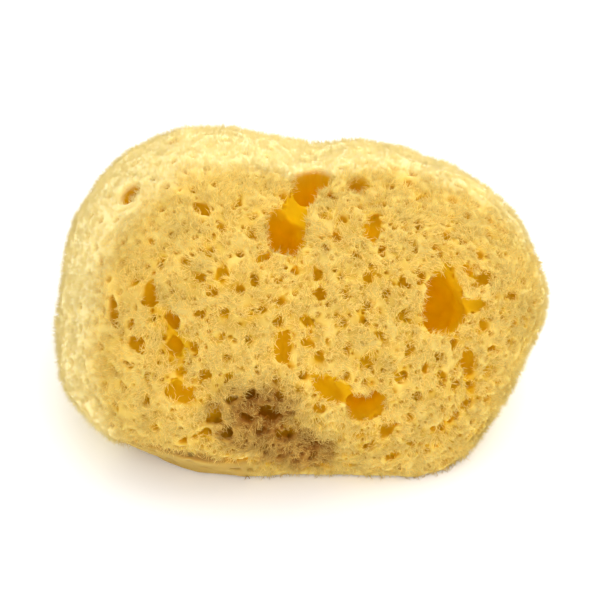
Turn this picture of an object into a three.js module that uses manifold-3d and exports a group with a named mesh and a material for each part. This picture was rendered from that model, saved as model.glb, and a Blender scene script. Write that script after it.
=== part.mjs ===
// A natural bath sponge, dried and trimmed: one springy mass of fibre, like a low loaf with two lobes on top.
// It is full of holes: wide oscula on the crown and the flanks, slots and pits on the front, pores all over.
// It was cut from the rock along a flat base, and rests on that cut.
// Millimetres, +Z up. The origin is on the surface under the sponge, below its middle. The front faces -Y.
import * as THREE from "three";
import { ConvexGeometry } from "three/addons/geometries/ConvexGeometry.js";
import { ImprovedNoise } from "three/addons/math/ImprovedNoise.js";
import { mergeVertices } from "three/addons/utils/BufferGeometryUtils.js";
import Module from "manifold-3d";

const wasm = await Module();
wasm.setup();

// The form, to the tips of the fibres

// Rounded lobes that grew together. Each is an ellipsoid.
const LOBES = [
  { name: "left crown", centre: [-27, 5, 31], radii: [30, 35, 33] },
  { name: "right crown", centre: [24, 1.5, 29], radii: [37, 32, 29] },
  { name: "belly", centre: [-8, -9, 23], radii: [33, 32.5, 32] },
  { name: "left back", centre: [-17, 20, 27], radii: [24, 22, 22] },
  { name: "right back", centre: [14, 19, 30], radii: [22.5, 23.5, 23] },
  { name: "left foot", centre: [-29, -16, 17], radii: [24.5, 20.5, 13] },
  { name: "right foot", centre: [26.5, -15.5, 8], radii: [18.5, 21, 18.5] },
];
const MERGE_WIDTH = 7;
const HEART = new THREE.Vector3(0, 0, 22);
const FURTHEST_SURFACE = 110;
const HALVINGS = 22;

// Valleys and hollows that the hand can feel, along lines on the surface.
const DENTS = [
  { name: "crown valley", from: [3, 20, 58], to: [-7, -19, 59], width: 8, depth: 3.4 },
  { name: "front hollow", from: [-9, -45, 28], to: [1, -44, 15], width: 7, depth: 3.2 },
  { name: "left valley, upper", from: [-37, -23, 52], to: [-31, -35, 40], width: 4.5, depth: 2 },
  { name: "left valley, lower", from: [-31, -35, 40], to: [-24, -43, 28], width: 4.5, depth: 2 },
  { name: "right crease", from: [40, -28, 37], to: [42, -31, 22], width: 3.2, depth: 2.4 },
  { name: "back valley", from: [2, 40, 50], to: [6, 46, 25], width: 7, depth: 2.6 },
  { name: "right flank dent", from: [60, 6, 36], to: [58, 12, 22], width: 7, depth: 1.8 },
];
const LUMPS = [
  { size: 18, height: 1.2 },
  { size: 8, height: 0.8 },
];

// The holes, the widest first. Each is at an azimuth, from the front towards +X, and an elevation, in degrees
// as seen from the heart. Its mouth has a width, and a length that runs up the surface and is then turned
// anticlockwise, as seen from outside. A top above 0 makes a pear of it: at 1 its upper end would close.
const OSCULA = [
  { name: "right osculum", at: [54, 29], mouth: [9.4, 14], turn: -4, top: 0.45, depth: 17 },
  { name: "crown channel", at: [-15, 70], mouth: [8.6, 12.6], turn: -24, top: 0.15, depth: 15 },
  { name: "crown osculum", at: [158, 80], mouth: [8.8, 11], turn: 0, top: 0.2, depth: 14 },
  { name: "lower osculum", at: [21, 4.5], mouth: [5.8, 9], turn: 98, depth: 12 },
  { name: "back osculum", at: [172, 33], mouth: [8, 9], turn: 0, top: 0.2, depth: 14 },
  { name: "left back osculum", at: [-138, 28], mouth: [6, 7], turn: 115, depth: 11 },
  { name: "right back osculum", at: [128, 38], mouth: [6, 7.5], turn: -15, top: 0.3, depth: 11 },
  { name: "right flank osculum", at: [94, 12], mouth: [5.4, 6], turn: 90, depth: 10 },
  { name: "left flank osculum", at: [-98, 14], mouth: [5, 6], turn: 105, top: 0.2, depth: 9 },
  { name: "crown side osculum", at: [95, 71], mouth: [4.6, 6.4], turn: 10, depth: 8 },
  { name: "upper left osculum", at: [-88, 43], mouth: [5, 6], turn: 20, top: 0.2, depth: 7 },
];
const PITS = [
  { name: "slot over the lower osculum", at: [10, 12], mouth: [3, 8.6], turn: 46, depth: 5 },
  { name: "branch of the right osculum", at: [67, 28], mouth: [2.6, 5.6], turn: 102, depth: 4 },
  { name: "pit beside the lower osculum", at: [27, -5], mouth: [2.6, 4.2], turn: 0, depth: 4 },
  { name: "pit over the hollow", at: [-16, 12], mouth: [3, 3], turn: 0, depth: 4 },
  { name: "brown pit, left", at: [-25, 4], mouth: [3.4, 4], turn: -20, depth: 5.5 },
  { name: "brown pit, in the hollow", at: [-9, 4], mouth: [4, 5], turn: 30, depth: 5 },
  { name: "brown pit, low", at: [-4, -6], mouth: [3.6, 4.5], turn: 90, depth: 5 },
  { name: "wide pit, left", at: [-35, 9], mouth: [4, 6.5], turn: 72, depth: 5 },
  { name: "narrow pit, left", at: [-21, -1], mouth: [2.4, 4.2], turn: 0, depth: 4 },
  { name: "pit at the left valley's foot", at: [-50, 18], mouth: [3, 4.6], turn: 98, depth: 5 },
  { name: "pit in the left valley", at: [-44, 28], mouth: [4.8, 4.8], turn: 0, depth: 6 },
  { name: "pit under the left valley", at: [-42, 20.5], mouth: [3.4, 3.4], turn: 0, depth: 4.5 },
  { name: "slanting slot, left", at: [-60, 22], mouth: [2.6, 8], turn: 32, depth: 4.5 },
  { name: "upright slot, left", at: [-54, 31], mouth: [2.5, 6.6], turn: 0, depth: 4.5 },
  { name: "pit on the belly", at: [-5.5, 27.5], mouth: [3.6, 7], turn: -8, depth: 4.5 },
  { name: "pit at the belly's top", at: [10, 45], mouth: [3.2, 3.2], turn: 0, depth: 4.5 },
  { name: "pit under the side osculum", at: [53, 60], mouth: [4, 6.4], turn: -20, top: 0.3, depth: 5 },
  { name: "slot under the right osculum", at: [55, 9], mouth: [3, 8], turn: 0, top: 0.3, depth: 4 },
  { name: "pit on the left crown", at: [-64, 58], mouth: [3, 5], turn: 65, depth: 4 },
  { name: "pit on the back, left", at: [-160, 22], mouth: [4, 4.4], turn: 0, depth: 5 },
  { name: "pit on the back, right", at: [150, 12], mouth: [3.6, 4.4], turn: 110, depth: 5 },
  { name: "pit on the back, low", at: [-178, -2], mouth: [3.6, 4], turn: 0, depth: 5 },
  { name: "pit behind the left crown", at: [-120, 48], mouth: [3.8, 4.6], turn: 10, depth: 5 },
];

// The wall of a hole from its rim to its floor: how wide it still is, as a share of the mouth, and how deep.
const OSCULUM_WALL = [
  { share: 1, sunk: 0 },
  { share: 0.86, sunk: 0.4 },
  { share: 0.6, sunk: 0.85 },
  { share: 0, sunk: 1 },
];
const PIT_WALL = [
  { share: 1, sunk: 0 },
  { share: 0.68, sunk: 0.75 },
  { share: 0, sunk: 1 },
];
const PORE_WALL = [
  { share: 1, sunk: 0 },
  { share: 0, sunk: 1 },
];
const RIM_STEP = { osculum: 2.1, pit: 1.8, pore: 1.8 };
const LEAST_RIM_SIDES = 4;
const FLOORS_PER_WIDTH = 1.6;
const RIM_ROUGHNESS = 0.09;

// Pores lie close and wide on the open side, which is the front right. On the velvety rest they are small and
// far apart. Between is the breadth of fibre that is left from one pore to the next.
const OPEN_SIDE = new THREE.Vector3(0.5, -0.78, 0.2).normalize();
const OPEN_FROM = -0.15;
const OPEN_FULLY = 0.65;
const PORES = {
  open: { width: 3.1, between: 1.6 },
  velvet: { width: 2.1, between: 2.7 },
  spread: 0.28,
  depthShare: 0.95,
  lowest: 2.6,
};
const PORE_TRIES = 16000;

// Tufts of fibre stand up where the walls between the pores are broad.
const TUFT_SPACING = 3;
const TUFT_HEIGHT = { least: 0.2, most: 1.2 };
const TUFT_TRIES = 16000;
const RIM_HEIGHT = 0.5;

// Under the cut only a few points are needed, to close the form.
const CLOSING_SPACING = 9;
const CLOSING_TRIES = 2000;
const CLOSING_HIGHEST = -2;
const SEED = 20531;

// Canals that the cut lays open in the flat base, with a clear patch in the middle.
const BASE_CANALS = [
  { name: "base canal, left", x: -27, y: -4, width: 7, depth: 9 },
  { name: "base canal, right", x: 24, y: 6, width: 6, depth: 9 },
  { name: "base canal, front", x: 6, y: -22, width: 5, depth: 7 },
  { name: "base canal, back", x: -8, y: 21, width: 5.5, depth: 7 },
  { name: "base canal, right front", x: 25, y: -13, width: 4, depth: 6 },
  { name: "base canal, left back", x: -24, y: 15, width: 4, depth: 6 },
];
const CANAL_SIDES = 10;

// A hole whose mouth faces up this nearly takes its length from front to back.
const FACES_UP = 0.975;
const SMALLEST_GAP = 1e-4;

// A fold low on the left of the front: a thin cut, shaped like a lens, between the lip above and the foot.
const FOLD = {
  centre: [-28, -42.5, 11.6],
  along: [28, -4.5, -3.5],
  inwards: [0.14, 0.95, 0.22],
  size: [38, 12, 2.8],
  sides: [18, 8],
};

const COLOUR = 0xe6bd5a;
const ROUGHNESS = 0.9;

// A random number generator with a seed, so that each run gives the same sponge.
function randomSource(seed) {
  let state = seed;
  return () => {
    state = (state + 0x6d2b79f5) | 0;
    let t = Math.imul(state ^ (state >>> 15), 1 | state);
    t = (t + Math.imul(t ^ (t >>> 7), 61 | t)) ^ t;
    return ((t ^ (t >>> 14)) >>> 0) / 2 ** 32;
  };
}

const random = randomSource(SEED);
const noise = new ImprovedNoise();

// The direction from the heart for an azimuth and an elevation in degrees.
function direction(azimuth, elevation) {
  const a = THREE.MathUtils.degToRad(azimuth);
  const e = THREE.MathUtils.degToRad(elevation);
  return new THREE.Vector3(Math.sin(a) * Math.cos(e), -Math.cos(a) * Math.cos(e), Math.sin(e));
}

function randomDirection() {
  const height = random() * 2 - 1;
  const across = Math.sqrt(1 - height ** 2);
  const angle = random() * 2 * Math.PI;
  return new THREE.Vector3(across * Math.cos(angle), across * Math.sin(angle), height);
}

// Below zero inside the merged lobes, about the distance to their surface elsewhere.
function lobeField(point) {
  let sum = 0;
  for (const { centre, radii } of LOBES) {
    const share = Math.hypot(
      (point.x - centre[0]) / radii[0],
      (point.y - centre[1]) / radii[1],
      (point.z - centre[2]) / radii[2],
    );
    sum += Math.exp(-((share - 1) * Math.min(...radii)) / MERGE_WIDTH);
  }
  return -MERGE_WIDTH * Math.log(sum);
}

// How far the dents and lumps move the surface outwards at this point.
function relief(point) {
  let height = 0;
  for (const { size, height: rise } of LUMPS)
    height += rise * noise.noise(point.x / size, point.y / size, point.z / size);
  const nearest = new THREE.Vector3();
  for (const { from, to, width, depth } of DENTS) {
    const line = new THREE.Line3(new THREE.Vector3(...from), new THREE.Vector3(...to));
    line.closestPointToPoint(point, true, nearest);
    height -= depth * Math.exp(-((nearest.distanceTo(point) / width) ** 2));
  }
  return height;
}

// The point of the surface that lies in this direction from the heart.
function surfacePoint(towards) {
  let near = 0;
  let far = FURTHEST_SURFACE;
  const point = new THREE.Vector3();
  for (let i = 0; i < HALVINGS; i++) {
    const middle = (near + far) / 2;
    point.copy(HEART).addScaledVector(towards, middle);
    if (lobeField(point) < 0) near = middle;
    else far = middle;
  }
  return point.addScaledVector(towards, relief(point));
}

// The outward normal of the merged lobes.
function surfaceNormal(point) {
  const step = 0.5;
  const here = lobeField(point);
  const slopes = [0, 1, 2].map((axis) => {
    const beside = point.clone();
    beside.setComponent(axis, beside.getComponent(axis) + step);
    return lobeField(beside) - here;
  });
  return new THREE.Vector3(...slopes).normalize();
}

// The net: points that lie in different directions from the heart, each at its own distance

// A point of the net, lifted off the surface.
function netPoint(towards, lift) {
  const skin = surfacePoint(towards);
  return { towards, skin, place: skin.clone().addScaledVector(towards, lift) };
}

function isClear(net, point, distance) {
  return net.every(({ skin }) => skin.distanceToSquared(point) > distance ** 2);
}

// The points of one hole: many round its rim, and one for its floor, or a row of them in a long hole.
function addHole(net, { towards, mouth, turn, top = 0, depth }, wall, rimStep) {
  const [width, length] = mouth;
  const middle = surfacePoint(towards);
  const normal = surfaceNormal(middle);
  const up = normal.z > FACES_UP ? new THREE.Vector3(0, 1, 0) : new THREE.Vector3(0, 0, 1);
  up.projectOnPlane(normal).normalize().applyAxisAngle(normal, THREE.MathUtils.degToRad(turn));
  const across = new THREE.Vector3().crossVectors(up, normal);
  const pointAt = (x, y, lift) => {
    const beside = middle.clone().addScaledVector(across, x).addScaledVector(up, y);
    return netPoint(beside.sub(HEART).normalize(), lift);
  };
  const sides = Math.max(LEAST_RIM_SIDES, Math.round((Math.PI * (width + length)) / 2 / rimStep));
  for (let i = 0; i < sides; i++) {
    const angle = (2 * Math.PI * i) / sides;
    const size = (1 + RIM_ROUGHNESS * (random() * 2 - 1)) / 2;
    const x = width * size * Math.cos(angle) * (1 - top * Math.sin(angle));
    net.push(pointAt(x, length * size * Math.sin(angle), RIM_HEIGHT * random()));
  }
  const hole = { wall, depth, inwards: normal.clone().negate() };
  const narrow = width * (1 - top);
  const gaps = Math.round((FLOORS_PER_WIDTH * (length - narrow)) / narrow);
  for (let i = 0; i <= gaps; i++) {
    const y = gaps === 0 ? 0 : (length - narrow) * (i / gaps - 0.5);
    net.push({ ...pointAt(0, y, 0), hole });
  }
}

function addNamedHoles(net) {
  const place = (hole) => ({ ...hole, towards: direction(...hole.at) });
  for (const hole of OSCULA) addHole(net, place(hole), OSCULUM_WALL, RIM_STEP.osculum);
  for (const hole of PITS) addHole(net, place(hole), PIT_WALL, RIM_STEP.pit);
}

function addPores(net) {
  for (let i = 0; i < PORE_TRIES; i++) {
    const towards = randomDirection();
    const openness = THREE.MathUtils.smoothstep(towards.dot(OPEN_SIDE), OPEN_FROM, OPEN_FULLY);
    const mean = THREE.MathUtils.lerp(PORES.velvet.width, PORES.open.width, openness);
    const between = THREE.MathUtils.lerp(PORES.velvet.between, PORES.open.between, openness);
    const mouth = [0, 0].map(() => mean * (1 + PORES.spread * (random() * 2 - 1))).sort((a, b) => a - b);
    const turn = random() * 360;
    const skin = surfacePoint(towards);
    if (skin.z < PORES.lowest || !isClear(net, skin, mouth[1] / 2 + between)) continue;
    addHole(net, { towards, mouth, turn, depth: mean * PORES.depthShare }, PORE_WALL, RIM_STEP.pore);
  }
}

function addTufts(net) {
  for (let i = 0; i < TUFT_TRIES; i++) {
    const towards = randomDirection();
    const skin = surfacePoint(towards);
    if (skin.z < 0 || !isClear(net, skin, TUFT_SPACING)) continue;
    net.push(netPoint(towards, THREE.MathUtils.lerp(TUFT_HEIGHT.least, TUFT_HEIGHT.most, random())));
  }
}

function addClosingPoints(net) {
  for (let i = 0; i < CLOSING_TRIES; i++) {
    const towards = randomDirection();
    const skin = surfacePoint(towards);
    if (skin.z < CLOSING_HIGHEST && isClear(net, skin, CLOSING_SPACING)) net.push(netPoint(towards, 0));
  }
}

// The points down a wall, from a point of the rim to one of the floor.
function wallLine(rim, floor) {
  const { wall, depth, inwards } = floor.hole;
  return wall.map(({ share, sunk }) =>
    floor.skin.clone().lerp(rim.place, share).addScaledVector(inwards, sunk * depth),
  );
}

// The triangles between two lines that run side by side, and that may meet at either end.
function strip(left, right) {
  const triangles = [];
  for (let i = 0; i + 1 < left.length; i++) {
    triangles.push([left[i], right[i], right[i + 1]]);
    triangles.push([left[i], right[i + 1], left[i + 1]]);
  }
  const isApart = (a, b) => a.distanceTo(b) > SMALLEST_GAP;
  return triangles.filter(([a, b, c]) => isApart(a, b) && isApart(b, c) && isApart(c, a));
}

// The surface over one mesh of the net: a triangle, or a length of a hole's wall.
function surfaceOver(corners) {
  const floors = corners.filter(({ hole }) => hole).length;
  if (floors === 0) return [corners.map(({ place }) => place)];
  const first = corners.findIndex(({ hole }, i) => !hole && (floors === 2 || !corners[(i + 1) % 3].hole));
  const [a, b, c] = [0, 1, 2].map((i) => corners[(first + i) % 3]);
  return floors === 1 ? strip(wallLine(a, c), wallLine(b, c)) : strip(wallLine(a, c), wallLine(a, b));
}

// The lump with its holes and pores. The net is joined up on a unit sphere, then drawn at each point's place.
function lump() {
  const net = [];
  addNamedHoles(net);
  addPores(net);
  addTufts(net);
  addClosingPoints(net);
  const key = (point) => point.toArray().map(Math.fround).join();
  const points = new Map(net.map((point) => [key(point.towards), point]));
  const { position } = new ConvexGeometry(net.map(({ towards }) => towards)).attributes;
  const corner = (i) => points.get(key(new THREE.Vector3().fromBufferAttribute(position, i)));
  const triangles = [];
  for (let i = 0; i < position.count; i += 3)
    triangles.push(...surfaceOver([corner(i), corner(i + 1), corner(i + 2)]));
  return solidOf(new THREE.BufferGeometry().setFromPoints(triangles.flat()));
}

// Solids and cuts

// A closed solid from a three.js geometry.
function solidOf(geometry) {
  const bare = geometry.clone();
  for (const name of Object.keys(bare.attributes)) if (name !== "position") bare.deleteAttribute(name);
  const merged = mergeVertices(bare, SMALLEST_GAP);
  const mesh = new wasm.Mesh({
    numProp: 3,
    vertProperties: new Float32Array(merged.attributes.position.array),
    triVerts: new Uint32Array(merged.index.array),
  });
  return new wasm.Manifold(mesh);
}

// A three.js geometry from a closed solid.
function geometryOf(solid) {
  const { vertProperties, triVerts } = solid.getMesh();
  const geometry = new THREE.BufferGeometry();
  geometry.setAttribute("position", new THREE.BufferAttribute(vertProperties, 3));
  geometry.setIndex(new THREE.BufferAttribute(triVerts, 1));
  geometry.computeVertexNormals();
  return geometry;
}

// Everything below the flat base.
function belowBase() {
  const side = 4 * FURTHEST_SURFACE;
  return solidOf(new THREE.BoxGeometry(side, side, side).translate(0, 0, -side / 2));
}

// A round canal that narrows upwards from the base.
function canal({ x, y, width, depth }) {
  const profile = [
    [0, -1],
    [width / 2, -1],
    [width / 2, depth / 4],
    [width / 3, (depth * 3) / 4],
    [0, depth],
  ];
  const outline = profile.map(([radius, height]) => new THREE.Vector2(radius, height));
  return solidOf(new THREE.LatheGeometry(outline, CANAL_SIDES).rotateX(Math.PI / 2).translate(x, y, 0));
}

function fold() {
  const along = new THREE.Vector3(...FOLD.along).normalize();
  const inwards = new THREE.Vector3(...FOLD.inwards);
  inwards.addScaledVector(along, -along.dot(inwards)).normalize();
  const across = new THREE.Vector3().crossVectors(along, inwards);
  const lens = new THREE.SphereGeometry(0.5, ...FOLD.sides).scale(...FOLD.size);
  const place = new THREE.Matrix4().makeBasis(along, inwards, across);
  return solidOf(lens.applyMatrix4(place.setPosition(...FOLD.centre)));
}

function sponge() {
  const cutters = [belowBase(), fold(), ...BASE_CANALS.map(canal)];
  const solid = cutters.reduce((body, cutter) => body.subtract(cutter), lump());
  const geometry = geometryOf(solid);
  geometry.computeBoundingBox();
  const middle = geometry.boundingBox.getCenter(new THREE.Vector3());
  geometry.translate(-middle.x, -middle.y, 0);
  const material = new THREE.MeshStandardMaterial({ color: COLOUR, roughness: ROUGHNESS, metalness: 0 });
  const mesh = new THREE.Mesh(geometry, material);
  mesh.name = "sponge";
  return mesh;
}

const model = new THREE.Group();
model.add(sponge());

export default model;
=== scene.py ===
"""A natural bath sponge: its porous skeleton, the fibres that stand on it, and the studio that it is seen in.

Lengths are in metres, +Z is up, and the front of the sponge faces -Y.
"""

import logging
import math
from dataclasses import dataclass, field
from enum import Enum

import bpy
import numpy as np
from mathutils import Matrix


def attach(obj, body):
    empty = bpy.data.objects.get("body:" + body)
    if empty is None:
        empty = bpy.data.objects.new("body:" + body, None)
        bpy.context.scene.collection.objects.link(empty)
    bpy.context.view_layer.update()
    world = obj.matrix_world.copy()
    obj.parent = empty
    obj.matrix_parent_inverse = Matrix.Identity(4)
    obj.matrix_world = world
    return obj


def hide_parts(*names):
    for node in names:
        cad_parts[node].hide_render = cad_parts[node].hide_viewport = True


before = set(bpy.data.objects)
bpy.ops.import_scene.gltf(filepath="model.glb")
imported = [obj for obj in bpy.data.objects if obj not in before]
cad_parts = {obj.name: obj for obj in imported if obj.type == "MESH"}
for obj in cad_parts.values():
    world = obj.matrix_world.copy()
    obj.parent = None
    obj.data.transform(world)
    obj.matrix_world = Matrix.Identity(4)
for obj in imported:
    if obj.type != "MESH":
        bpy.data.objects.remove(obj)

import openvdb as vdb
from mathutils import Vector
from mathutils.kdtree import KDTree

MM = 0.001
NODE = "sponge"
BODY = "root"
TRIANGLE_LIMIT = 196_000
LEAST_LENGTH = 1e-12

log = logging.getLogger("sponge")


class Side(Enum):
    """The two kinds of surface: open, with wide pores close together, and velvety, with a short dense pile."""

    OPEN = "open"
    VELVET = "velvet"


@dataclass(frozen=True)
class Texture:
    """How the skeleton and its pile are on one kind of surface.

    pore_gap is the least distance between the middles of two pores, lean how far the tufts lean over, softness
    how far a fibre's shading follows the form below it, and the rest are sizes of one pore or fibre.
    """

    pore_gap: float
    pore_mouth: float
    pore_depth: float
    fibre_length: float
    fibre_radius: float
    lean: float
    softness: float


TEXTURES: dict[Side, Texture] = {
    Side.OPEN: Texture(
        pore_gap=1.85 * MM,
        pore_mouth=0.68 * MM,
        pore_depth=1.25 * MM,
        fibre_length=2.0 * MM,
        fibre_radius=0.06 * MM,
        lean=0.9,
        softness=3.0,
    ),
    Side.VELVET: Texture(
        pore_gap=3.6 * MM,
        pore_mouth=0.42 * MM,
        pore_depth=0.9 * MM,
        fibre_length=2.5 * MM,
        fibre_radius=0.05 * MM,
        lean=0.35,
        softness=3.0,
    ),
}

# The surface is open where it lies towards OPEN_SIDE as seen from the heart. It turns from velvety to open
# between two cosines of the angle to that side.
HEART = np.array([0.0, 0.0, 0.022])
OPEN_SIDE = np.array([0.16, -0.86, 0.48])
OPEN_FROM, OPEN_FULLY = 0.2, 0.68


def smooth_step(low: float, high: float, values: np.ndarray) -> np.ndarray:
    """Rises from 0 at low to 1 at high, level at both ends.

    Args:
        low: The value at which the rise starts.
        high: The value at which it ends.
        values: Where to read it.

    Returns:
        One share for each value.
    """
    share = np.clip((values - low) / (high - low), 0.0, 1.0)
    return share * share * (3.0 - 2.0 * share)


def openness(points: np.ndarray) -> np.ndarray:
    """How open the surface is at these points, from 0 where it is velvety to 1 on the open side.

    Args:
        points: Places on the sponge, one row each.

    Returns:
        One share for each point.
    """
    towards = points - HEART
    return smooth_step(OPEN_FROM, OPEN_FULLY, towards / length_of(towards) @ OPEN_SIDE)


def between(share: np.ndarray, name: str) -> np.ndarray:
    """One size of the texture at each point, between its velvety and its open value.

    Args:
        share: The openness of each point.
        name: The texture's field.

    Returns:
        One size for each point.
    """
    least = getattr(TEXTURES[Side.VELVET], name)
    most = getattr(TEXTURES[Side.OPEN], name)
    return least + (most - least) * share


def length_of(vectors: np.ndarray) -> np.ndarray:
    """The length of each row, kept as a column."""
    return np.linalg.norm(vectors, axis=1, keepdims=True)


def unit(vectors: np.ndarray) -> np.ndarray:
    """Each row at length 1."""
    return vectors / np.maximum(length_of(vectors), LEAST_LENGTH)


def smooth_largest(a: np.ndarray, b: np.ndarray, width: float) -> np.ndarray:
    """The larger of two fields, rounded where they cross.

    Args:
        a: One field.
        b: The other field, of the same shape.
        width: How far apart the fields are where the rounding ends.

    Returns:
        The joined field.
    """
    near = np.maximum(width - np.abs(a - b), 0.0) / width
    return np.maximum(a, b) + near * near * width / 4.0


@dataclass
class Lattice:
    """A block of small cubes round the sponge. A field is an array with one value for each corner of them.

    cell is a cube's side, and low the number of the first corner along each axis, counted from the origin.
    inset is how far within the block, in cubes, a place past its end is read.
    """

    cell: float
    low: np.ndarray
    shape: tuple[int, int, int]
    inset: float = 1.001

    def axis(self, number: int) -> np.ndarray:
        """The coordinates of the corners along one axis."""
        return self.cell * (self.low[number] + np.arange(self.shape[number]))

    def places(self) -> tuple[np.ndarray, np.ndarray, np.ndarray]:
        """The coordinates of the corners, one array for each axis, shaped to be combined into a field."""
        return self.axis(0)[:, None, None], self.axis(1)[None, :, None], self.axis(2)[None, None, :]

    def openness(self) -> np.ndarray:
        """The openness of the surface over each corner.

        Returns:
            A field of shares.
        """
        x, y, z = (places - middle for places, middle in zip(self.places(), HEART))
        away = np.sqrt(x * x + y * y + z * z) + self.cell
        towards = (x * OPEN_SIDE[0] + y * OPEN_SIDE[1] + z * OPEN_SIDE[2]) / away
        return smooth_step(OPEN_FROM, OPEN_FULLY, towards).astype(np.float32)

    def read(self, grid: vdb.FloatGrid) -> np.ndarray:
        """A level set's distances at the corners.

        Args:
            grid: The level set.

        Returns:
            A field of distances.
        """
        values = np.empty(self.shape, np.float32)
        grid.copyToArray(values, ijk=tuple(int(n) for n in self.low))
        return values

    def sample(self, values: np.ndarray, points: np.ndarray) -> np.ndarray:
        """Reads a field between its corners.

        Args:
            values: The field.
            points: Where to read it, one row each.

        Returns:
            One value for each point.
        """
        place = points / self.cell - self.low
        place = np.clip(place, 0, np.array(self.shape) - self.inset)
        corner = place.astype(int)
        share = place - corner
        total = np.zeros(len(points))
        for step in np.ndindex(2, 2, 2):
            weight = np.prod(np.where(step, share, 1.0 - share), axis=1)
            total += weight * values[tuple((corner + step).T)]
        return total

    def slope(self, values: np.ndarray, points: np.ndarray, step: float) -> np.ndarray:
        """The direction in which a field rises fastest.

        Args:
            values: The field.
            points: Where to read it, one row each.
            step: How far apart its values are compared.

        Returns:
            One unit vector for each point.
        """
        shifts = np.eye(3) * step
        rise = [self.sample(values, points + s) - self.sample(values, points - s) for s in shifts]
        return unit(np.stack(rise, axis=1))

    def noise(self, size: float, rng: np.random.Generator) -> np.ndarray:
        """Smooth random lumps.

        Args:
            size: How wide the lumps are.
            rng: The random source.

        Returns:
            A field from -1 to 1.
        """
        step = size / self.cell
        values = rng.uniform(-1.0, 1.0, [int(n / step) + 2 for n in self.shape]).astype(np.float32)
        for number, count in enumerate(self.shape):
            place = np.arange(count) / step
            corner = place.astype(int)
            share = smooth_step(0.0, 1.0, place - corner).astype(np.float32)
            share = share.reshape([-1 if n == number else 1 for n in range(3)])
            low = np.take(values, corner, number)
            values = low + (np.take(values, corner + 1, number) - low) * share
        return values

    def carve(
        self,
        values: np.ndarray,
        mouth: np.ndarray,
        end: np.ndarray,
        radius: float,
        taper: float,
        rounding: float,
    ) -> None:
        """Takes a round canal out of a field.

        Args:
            values: The field, changed in place.
            mouth: The middle of the canal's mouth.
            end: The middle of its other end.
            radius: Its radius at the mouth.
            taper: The share of the radius that is left at its end.
            rounding: How wide the rounding of its rim is.
        """
        margin = radius + rounding + self.cell
        first = np.floor((np.minimum(mouth, end) - margin) / self.cell).astype(int) - self.low
        last = np.ceil((np.maximum(mouth, end) + margin) / self.cell).astype(int) - self.low + 1
        first, last = np.maximum(first, 0), np.minimum(last, self.shape)
        x, y, z = (self.cell * (self.low[n] + np.arange(first[n], last[n])) - mouth[n] for n in range(3))
        x, y, z = x[:, None, None], y[None, :, None], z[None, None, :]
        run = end - mouth
        along = np.clip((x * run[0] + y * run[1] + z * run[2]) / (run @ run), 0.0, 1.0)
        away = np.sqrt((x - along * run[0]) ** 2 + (y - along * run[1]) ** 2 + (z - along * run[2]) ** 2)
        inside = radius * (1.0 - (1.0 - taper) * along) - away
        block = tuple(slice(a, b) for a, b in zip(first, last))
        values[block] = smooth_largest(values[block], inside, rounding)


def level_set(points: np.ndarray, faces: np.ndarray, cell: float, band: int) -> vdb.FloatGrid:
    """The distance to a closed mesh, below zero inside it.

    Args:
        points: The mesh's vertices.
        faces: Its triangles or quads.
        cell: The side of the cubes on whose corners the distance is held.
        band: How many cubes the distance is followed to either side.

    Returns:
        The level set.
    """
    kind = {3: "triangles", 4: "quads"}[faces.shape[1]]
    return vdb.FloatGrid.createLevelSetFromPolygons(
        np.ascontiguousarray(points, np.float32),
        transform=vdb.createLinearTransform(voxelSize=cell),
        halfWidth=band,
        **{kind: np.ascontiguousarray(faces, np.uint32)},
    )


def new_mesh(name: str, points: np.ndarray, *face_sets: np.ndarray) -> bpy.types.Mesh:
    """A mesh from arrays.

    Args:
        name: The mesh's name.
        points: Its vertices, one row each.
        face_sets: Arrays of faces, each with as many columns as its faces have corners.

    Returns:
        The mesh, shaded smooth.
    """
    mesh = bpy.data.meshes.new(name)
    mesh.vertices.add(len(points))
    mesh.vertices.foreach_set("co", np.ascontiguousarray(points, np.float32).ravel())
    corners = np.concatenate([faces.ravel() for faces in face_sets])
    sizes = np.concatenate([np.full(len(faces), faces.shape[1]) for faces in face_sets])
    mesh.loops.add(len(corners))
    mesh.loops.foreach_set("vertex_index", corners.astype(np.int32))
    mesh.polygons.add(len(sizes))
    mesh.polygons.foreach_set("loop_start", np.concatenate([[0], np.cumsum(sizes)[:-1]]).astype(np.int32))
    mesh.polygons.foreach_set("use_smooth", np.ones(len(sizes), bool))
    mesh.update(calc_edges=True)
    mesh.validate()
    return mesh


def set_values(mesh: bpy.types.Mesh, name: str, values: np.ndarray) -> None:
    """Keeps one value for each vertex.

    Args:
        mesh: The mesh.
        name: The attribute's name.
        values: The values, in the order of the vertices.
    """
    mesh.attributes.new(name, "FLOAT", "POINT").data.foreach_set("value", values.astype(np.float32))


def triangles_of(mesh: bpy.types.Mesh) -> np.ndarray:
    """The triangles of a mesh.

    Args:
        mesh: The mesh.

    Returns:
        The numbers of their corners, one row each.
    """
    mesh.calc_loop_triangles()
    corners = np.empty(len(mesh.loop_triangles) * 3, np.int32)
    mesh.loop_triangles.foreach_get("vertices", corners)
    return corners.reshape(-1, 3)


def points_of(mesh: bpy.types.Mesh) -> np.ndarray:
    """The vertices of a mesh.

    Args:
        mesh: The mesh.

    Returns:
        Their places, one row each.
    """
    points = np.empty(len(mesh.vertices) * 3, np.float32)
    mesh.vertices.foreach_get("co", points)
    return points.reshape(-1, 3)


def add_piece(name: str, mesh: bpy.types.Mesh, material: bpy.types.Material) -> bpy.types.Object:
    """Puts a mesh in the scene as a piece of the sponge.

    Args:
        name: The piece's name.
        mesh: Its mesh.
        material: Its finish.

    Returns:
        The new object.
    """
    piece = bpy.data.objects.new(name, mesh)
    piece.data.materials.append(material)
    bpy.context.scene.collection.objects.link(piece)
    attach(piece, BODY)
    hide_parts(NODE)
    return piece


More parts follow.
